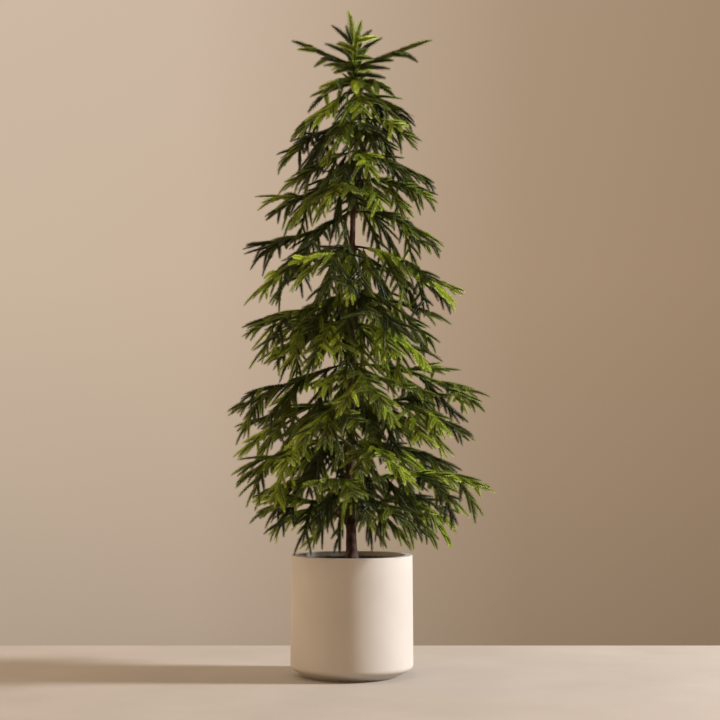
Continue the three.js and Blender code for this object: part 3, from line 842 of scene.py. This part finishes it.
# Kinds of shoot: length, droop and seed; a sleeve is the open-ended piece that covers a stretch of twig
SHOOTS = [(0.060, 0.06, 1), (0.072, 0.12, 2), (0.084, 0.18, 3), (0.096, 0.10, 4)]
SLEEVE_LENGTH = 0.044
SLEEVE_SEED = 5
SLEEVE_KIND = len(SHOOTS)

shoot_tree, start, end = geometry_tree("needle shoot", [
    ("Length", "Float", 0.07),
    ("Rings", "Int", 20),
    ("Ring of needles", "Object", None),
    ("Core radius", "Float", 0.0034),
    ("Droop", "Float", 0.1),
    ("Tip", "Float", 1.0),
    ("Seed", "Int", 0),
])
line = node_in(shoot_tree, "GeometryNodeCurvePrimitiveLine", {
    "Start": (0.0, 0.0, 0.0), "Direction": (0.0, 0.0, 1.0), "Length": start.outputs["Length"],
}, mode="DIRECTION")
even = node_in(shoot_tree, "GeometryNodeResampleCurve", {"Curve": line.outputs[0], "Count": CORE_POINTS})
share = node_in(shoot_tree, "GeometryNodeSplineParameter")
squared = maths(shoot_tree, "MULTIPLY", share.outputs["Factor"], share.outputs["Factor"])
sag = maths(shoot_tree, "MULTIPLY", squared, start.outputs["Length"])
sag = maths(shoot_tree, "MULTIPLY", sag, start.outputs["Droop"])
sideways = node_in(shoot_tree, "ShaderNodeCombineXYZ", {"X": maths(shoot_tree, "MULTIPLY", sag, -1.0)})
bent = node_in(shoot_tree, "GeometryNodeSetPosition", {
    "Geometry": even.outputs[0], "Offset": sideways.outputs[0],
})
ring = node_in(shoot_tree, "GeometryNodeCurvePrimitiveCircle", {"Resolution": CORE_SIDES, "Radius": 1.0})
taper = maths(shoot_tree, "SUBTRACT", 1.0, maths(shoot_tree, "MULTIPLY", squared, start.outputs["Tip"]))
core_share = maths(shoot_tree, "ADD", taper, CORE_AT_TIP)
core = node_in(shoot_tree, "GeometryNodeCurveToMesh", {
    "Curve": bent.outputs[0], "Profile Curve": ring.outputs["Curve"],
    "Scale": maths(shoot_tree, "MULTIPLY", core_share, start.outputs["Core radius"]),
})
# The core is marked so that the crown shows it darker, as painted shade
marked = node_in(shoot_tree, "GeometryNodeStoreNamedAttribute", {
    "Geometry": core.outputs[0], "Name": "core", "Value": 1,
}, data_type="INT")
roots = node_in(shoot_tree, "GeometryNodeCurveToPoints", {
    "Curve": bent.outputs[0], "Count": start.outputs["Rings"],
}, mode="COUNT")
index = node_in(shoot_tree, "GeometryNodeInputIndex")
turn = node_in(shoot_tree, "FunctionNodeAxisAngleToRotation", {
    "Axis": (0.0, 0.0, 1.0), "Angle": maths(shoot_tree, "MULTIPLY", index.outputs[0], RING_TURN),
})
turned = node_in(shoot_tree, "FunctionNodeRotateRotation", {
    "Rotation": roots.outputs["Rotation"], "Rotate By": turn.outputs[0],
}, rotation_space="LOCAL")
order = maths(shoot_tree, "DIVIDE", index.outputs[0], start.outputs["Rings"])
closing = maths(shoot_tree, "MULTIPLY", maths(shoot_tree, "POWER", order, TIP_POWER), start.outputs["Tip"])
open_share = maths(shoot_tree, "SUBTRACT", 1.0, maths(shoot_tree, "MULTIPLY", closing, TIP_CLOSED))
size_play = random_in(shoot_tree, NEEDLE_SIZES, start.outputs["Seed"])
girth = maths(shoot_tree, "MULTIPLY", size_play, open_share)
size = node_in(shoot_tree, "ShaderNodeCombineXYZ", {"X": girth, "Y": girth, "Z": 1.0})
blades = node_in(shoot_tree, "GeometryNodeObjectInfo", {"Object": start.outputs["Ring of needles"]})
needles = node_in(shoot_tree, "GeometryNodeInstanceOnPoints", {
    "Points": roots.outputs["Points"], "Instance": blades.outputs["Geometry"], "Rotation": turned.outputs[0],
    "Scale": size.outputs[0],
})
real = node_in(shoot_tree, "GeometryNodeRealizeInstances", {
    "Geometry": joined_in(shoot_tree, marked.outputs[0], needles.outputs[0]),
})
shoot_tree.links.new(real.outputs[0], end.inputs[0])

ring_points, ring_faces = [], []
for i in range(NEEDLES_IN_RING):
    turn = Matrix.Rotation(2 * pi * i / NEEDLES_IN_RING, 3, "Z") @ Matrix.Rotation(NEEDLE_LEAN, 3, "Y")
    for x, y, z in [(0, 0, 0), (NEEDLE_FOLD, -0.5, 0.5), (0, 0, 1), (NEEDLE_FOLD, 0.5, 0.5)]:
        ring_points.append(turn @ Vector((x, y * NEEDLE_WIDTH, z * NEEDLE_LENGTH)))
    ring_faces += [(4 * i, 4 * i + 1, 4 * i + 2), (4 * i, 4 * i + 2, 4 * i + 3)]
ring_mesh = bpy.data.meshes.new("ring of needles")
ring_mesh.from_pydata(ring_points, [], ring_faces)
ring_of_needles = add_piece("ring of needles", ring_mesh)
shoot_shapes = bpy.data.collections.new("shoots")
holder = add_piece("shoot start", bpy.data.meshes.new("shoot start"))
kinds = [(length, droop_share, 1.0, seed) for length, droop_share, seed in SHOOTS]
kinds.append((SLEEVE_LENGTH, 0.0, 0.0, SLEEVE_SEED))
for kind, (length, droop_share, tip, seed) in enumerate(kinds):
    mesh = grown(holder, shoot_tree, Length=length, Rings=round(length / RING_STEP),
                 Ring_of_needles=ring_of_needles, Droop=droop_share, Tip=tip, Seed=seed)
    shoot_shapes.objects.link(bpy.data.objects.new(f"shoot_{kind}", mesh))
bpy.data.objects.remove(holder)
bpy.data.objects.remove(ring_of_needles)

# From old to young, each between two colours; the darker ones also carry the painted shade of cores and
# inner shoots
TONES = {
    "needles deep": ((0.026, 0.037, 0.006), (0.046, 0.060, 0.009)),
    "needles dark": ((0.070, 0.092, 0.012), (0.120, 0.156, 0.019)),
    "needles green": ((0.192, 0.247, 0.030), (0.302, 0.376, 0.043)),
    "needles light": ((0.372, 0.468, 0.051), (0.510, 0.625, 0.070)),
    "needles young": ((0.540, 0.665, 0.073), (0.680, 0.800, 0.102)),
}
needle_finishes = {
    name: mottled_finish(
        name, roughness=0.46, specular=0.42, mottle=(55, 2), colours=[(0.35, dark), (0.65, light)],
        grain=(1500, 2), bump=(0.25, 0.0005),
    )
    for name, (dark, light) in TONES.items()
}

crown_inputs = [("Shoots", "Collection", None)] + [(name, "Material", None) for name in TONES]
crown_tree, start, end = geometry_tree("crown", crown_inputs)


def attribute(name, data_type):
    """Value that each point of the crown's starting mesh brings along."""
    node = node_in(crown_tree, "GeometryNodeInputNamedAttribute", {"Name": name}, data_type=data_type)
    return node.outputs[0]


shapes = node_in(crown_tree, "GeometryNodeCollectionInfo", {
    "Collection": start.outputs["Shoots"], "Separate Children": True, "Reset Children": True,
})
pointing = node_in(crown_tree, "FunctionNodeAxesToRotation", {
    "Primary Axis": attribute("along", "FLOAT_VECTOR"), "Secondary Axis": attribute("above", "FLOAT_VECTOR"),
}, primary_axis="Z", secondary_axis="X")
roots = node_in(crown_tree, "GeometryNodeMeshToPoints", {"Mesh": start.outputs["Geometry"]})
shoots = node_in(crown_tree, "GeometryNodeInstanceOnPoints", {
    "Points": roots.outputs[0], "Instance": shapes.outputs[0], "Pick Instance": True,
    "Instance Index": attribute("kind", "INT"), "Rotation": pointing.outputs[0],
    "Scale": attribute("size", "FLOAT_VECTOR"),
})
geometry = node_in(crown_tree, "GeometryNodeRealizeInstances", {"Geometry": shoots.outputs[0]}).outputs[0]
# Each shoot's core is shown tones darker than its needles: painted shade at the needles' base
darker = maths(crown_tree, "MULTIPLY", attribute("core", "INT"), CORE_PAINTED_SHADE)
shown_tone = maths(crown_tree, "SUBTRACT", attribute("tone", "INT"), darker)
shown_tone = maths(crown_tree, "MAXIMUM", shown_tone, 0.0)
for tone, name in enumerate(TONES):
    chosen = node_in(crown_tree, "FunctionNodeCompare", {2: shown_tone, 3: tone},
                     data_type="INT", operation="EQUAL")
    geometry = node_in(crown_tree, "GeometryNodeSetMaterial", {
        "Geometry": geometry, "Selection": chosen.outputs[0], "Material": start.outputs[name],
    }).outputs[0]
crown_tree.links.new(geometry, end.inputs[0])

# The longer an axis is, the longer is the shoot at its tip, up to the longest at LONG_AXIS
LONG_AXIS = 0.14
TIP_SHARE = 0.6
SLEEVE_STEP = 0.036
SLEEVE_LEAST = 0.3
SLEEVE_OVERLAP = 0.004
LEAST_WITH_SHOOTS = 0.112
FIRST_SHOOT = 0.07
LAST_SHOOT = 0.030
SHOOT_SPACING = 0.0145
SPACING_PLAY = (0.8, 1.2)
SHOOT_SPREAD = (26, 46)
SHOOT_LOWERED = (-16, 22)
SHOOT_SIZES = (0.72, 1.0)
SHOOT_SHORTER = 0.32
SHOOT_GIRTH = 0.94
TONE_OF_TWIG = (1, 2, 1, 3, 2, 0, 2, 1, 3, 2, 4, 1)
LEADER_TONE = 1
# Shoots in the inner part of an axis, where shade falls, go a tone darker more often: painted shade.
# Elsewhere a shoot goes a tone darker at random, as an old one.
YOUNG_CHANCE = 0.25
SHADED_SHARE = 0.4
OLD_OR_PAINTED_SHADE_CHANCE = 0.6
OLD_CHANCE = 0.15
OUTSIDE = 0.008
PIECE_SHOOTS = 700

# A shoot: its root, the way it points, its upper side, its size across and along, its kind and its tone
Shoot = namedtuple("Shoot", "at along above size kind tone")


def inside(point):
    """True where a shoot's tip stays within the solids' reach and clear above the planter."""
    low = all(point[i] > solid_low[i] - OUTSIDE for i in range(3))
    high = all(point[i] < solid_high[i] + OUTSIDE for i in range(3))
    return low and high and point.z > CLEAR_OF_RIM


def new_shoot(at, way, girth, length, kind, tone):
    """One shoot or sleeve that points along `way`, with its flat side up."""
    above = (UP - way * UP.dot(way)).normalized()
    return Shoot(at, way, above, (girth, girth, length), kind, tone)


def needles_along(axis, tone):
    """Sleeves of needles end to end along an axis, and the shoot that closes its tip."""
    last_kind = len(SHOOTS) - 1
    kind = min(last_kind, int(len(SHOOTS) * axis.length / LONG_AXIS)) if axis.leafy else 0
    kind_length = SHOOTS[kind][0]
    tip_length = min(kind_length, axis.length * TIP_SHARE)
    shoots = []
    distance = axis.bare * axis.length
    while distance < axis.length - tip_length:
        at = axis.place(distance)[0]
        way = axis.place(min(distance + SLEEVE_STEP, axis.length - tip_length + SLEEVE_OVERLAP))[0] - at
        if inside(at + way) and way.length > SLEEVE_OVERLAP:
            length = max(SLEEVE_LEAST, way.length / SLEEVE_STEP)
            shoots.append(new_shoot(at, way.normalized(), axis.girth, length, SLEEVE_KIND, tone))
        distance += SLEEVE_STEP
    at = axis.place(axis.length - tip_length)[0]
    way = (axis.place(axis.length)[0] - at).normalized()
    length = tip_length / kind_length
    if inside(at + way * tip_length):
        shoots.append(new_shoot(at, way, axis.girth * length ** 0.5, length, kind, tone))
    return shoots


def side_shoots(axis, axis_tone, draw):
    """Shoots that leave a leafy axis left and right in turn, smaller towards its tip."""
    shoots = []
    side = 1
    distance = max(axis.bare, FIRST_SHOOT) * axis.length + 0.5 * SHOOT_SPACING
    while distance < axis.length - LAST_SHOOT:
        at, along = axis.place(distance)
        share = distance / axis.length
        way = branch_way(along, side, radians(draw(*SHOOT_SPREAD)), radians(draw(*SHOOT_LOWERED)))
        kind = int(draw(0, len(SHOOTS)))
        length = draw(*SHOOT_SIZES) * (1 - SHOOT_SHORTER * share)
        # In the inner part a tone darker is mostly painted shade; elsewhere it is a random old shoot
        older_or_shaded = draw() < (OLD_OR_PAINTED_SHADE_CHANCE if share < SHADED_SHARE else OLD_CHANCE)
        younger = draw() < YOUNG_CHANCE
        tone = min(len(TONES) - 1, max(0, axis_tone + younger - older_or_shaded))
        if inside(at + way * (SHOOTS[kind][0] * length)):
            shoots.append(new_shoot(at, way, SHOOT_GIRTH, length, kind, tone))
        side = -side
        distance += SHOOT_SPACING * draw(*SPACING_PLAY)
    return shoots


def shoots_on(axes, draw):
    """All the shoots of one bough or of the leader."""
    shoots = []
    for axis in axes:
        tone = TONE_OF_TWIG[int(draw(0, len(TONE_OF_TWIG)))]
        if not axis.leafy:
            tone = max(LEADER_TONE, tone)
        shoots += needles_along(axis, tone)
        if axis.leafy and axis.length > LEAST_WITH_SHOOTS:
            shoots += side_shoots(axis, tone, draw)
    return shoots


def crown_piece(name, shoots, nodes):
    """One joined piece of the crown: a starting point for each shoot, on which the node tree sets it."""
    mesh = bpy.data.meshes.new(name)
    mesh.from_pydata([shoot.at for shoot in shoots], [], [])
    for key in ("along", "above", "size"):
        values = [value for shoot in shoots for value in getattr(shoot, key)]
        mesh.attributes.new(key, "FLOAT_VECTOR", "POINT").data.foreach_set("vector", values)
    for key in ("kind", "tone"):
        values = [getattr(shoot, key) for shoot in shoots]
        mesh.attributes.new(key, "INT", "POINT").data.foreach_set("value", values)
    piece = grown_piece(name, mesh, crown_tree, Shoots=shoot_shapes, **needle_finishes)
    fit_piece(piece, "needles", *nodes)


shoots, nodes, count = [], [], 0
for name, axes, draw in crown:
    shoots += shoots_on(axes, draw)
    nodes.append("foliage_" + name)
    if len(shoots) > PIECE_SHOOTS or name == crown[-1][0]:
        count += 1
        crown_piece(f"needles_{count}", shoots, nodes)
        shoots, nodes = [], []


# The plant stands in a warm studio on a plain pale floor, whose back edge is the line seen in the photo.
# A soft key lamp stands high on the right and a broad, weak, warm one on the left, both unseen; the ceiling
# is bright and a little cool, and the walls are warm, lighter on the left than on the right.
FLOOR_LOW = Vector((-2.6, -3.4, -0.01))
FLOOR_HIGH = Vector((2.6, 0.64, 0))
# Tints of the room from left to right, from below to above and from front to back, multiplied together
ROOM_ACROSS = [
    (0.08, (0.80, 0.63, 0.46)), (0.39, (0.590, 0.462, 0.345)), (0.45, (0.585, 0.450, 0.335)),
    (0.55, (0.392, 0.276, 0.180)), (0.61, (0.345, 0.238, 0.150)), (0.80, (0.345, 0.240, 0.152)),
]
ROOM_UPWARD = [
    (0.40, (0.60, 0.60, 0.60)), (0.445, (0.76, 0.76, 0.76)), (0.49, (0.88, 0.88, 0.88)), (0.55, (1, 1, 1)),
    (0.66, (1.05, 1.07, 1.11)), (0.85, (1.55, 1.63, 1.8)),
]
ROOM_DEPTH = [(0.35, (0.78, 0.72, 0.62)), (0.65, (1, 1, 1))]
LIT_POINT = Vector((0, 0, 0.8))
CAMERA_PLACE = (0.022, -4.455, 0.635)
CAMERA_PITCH = 2.82
CAMERA_LENS = 81.6
CAMERA_SENSOR = 36


def studio_light(name, place, size, power, colour):
    """Round lamp that lights the plant's middle and that the camera doesn't see."""
    light = bpy.data.lights.new(name, "AREA")
    light.shape = "DISK"
    light.size = size
    light.energy = power
    light.color = colour
    lamp = bpy.data.objects.new(name, light)
    lamp.location = place
    lamp.rotation_euler = (LIT_POINT - Vector(place)).to_track_quat("-Z", "Y").to_euler()
    lamp.visible_camera = False
    bpy.context.scene.collection.objects.link(lamp)


floor_mesh = bpy.data.meshes.new("floor")
floor_mesh.from_pydata(
    [(x, y, z) for z in (FLOOR_LOW.z, FLOOR_HIGH.z) for y in (FLOOR_LOW.y, FLOOR_HIGH.y)
     for x in (FLOOR_LOW.x, FLOOR_HIGH.x)],
    [], [(0, 2, 3, 1), (4, 5, 7, 6), (0, 1, 5, 4), (2, 6, 7, 3), (0, 4, 6, 2), (1, 3, 7, 5)],
)
floor_mesh.materials.append(mottled_finish(
    "pale floor", roughness=0.8, specular=0.3,
    mottle=(3, 5), colours=[(0.3, (0.410, 0.368, 0.318)), (0.7, (0.462, 0.416, 0.362))],
))
floor = add_piece("floor", floor_mesh)

world = bpy.data.worlds.new("studio")
world.use_nodes = True
tree = world.node_tree
direction = tree.nodes.new("ShaderNodeTexCoord")
split = node_in(tree, "ShaderNodeSeparateXYZ", {0: direction.outputs["Generated"]})
# Each direction runs from -1 to 1 and becomes a place from 0 to 1 on its ramp
room = (1, 1, 1)
for axis, stops in (("X", ROOM_ACROSS), ("Z", ROOM_UPWARD), ("Y", ROOM_DEPTH)):
    share = maths(tree, "MULTIPLY_ADD", split.outputs[axis], 0.5, 0.5)
    tint = ramp_on(tree, share, stops)
    room = node_in(tree, "ShaderNodeVectorMath", {0: room, 1: tint}, operation="MULTIPLY").outputs[0]
tree.links.new(room, tree.nodes["Background"].inputs["Color"])
bpy.context.scene.world = world

studio_light("key", (6.6, -0.3, 3.1), size=1.0, power=880, colour=(0.945, 0.965, 1.02))
studio_light("left fill", (-3.5, 0.5, 1.5), size=3.0, power=34, colour=(1.0, 0.76, 0.54))

camera = bpy.data.cameras.new("camera")
camera.lens = CAMERA_LENS
camera.sensor_width = CAMERA_SENSOR
eye = bpy.data.objects.new("camera", camera)
eye.location = CAMERA_PLACE
eye.rotation_euler = (radians(90 + CAMERA_PITCH), 0, 0)
bpy.context.scene.collection.objects.link(eye)
bpy.context.scene.camera = eye
bpy.context.scene.view_settings.view_transform = "Standard"
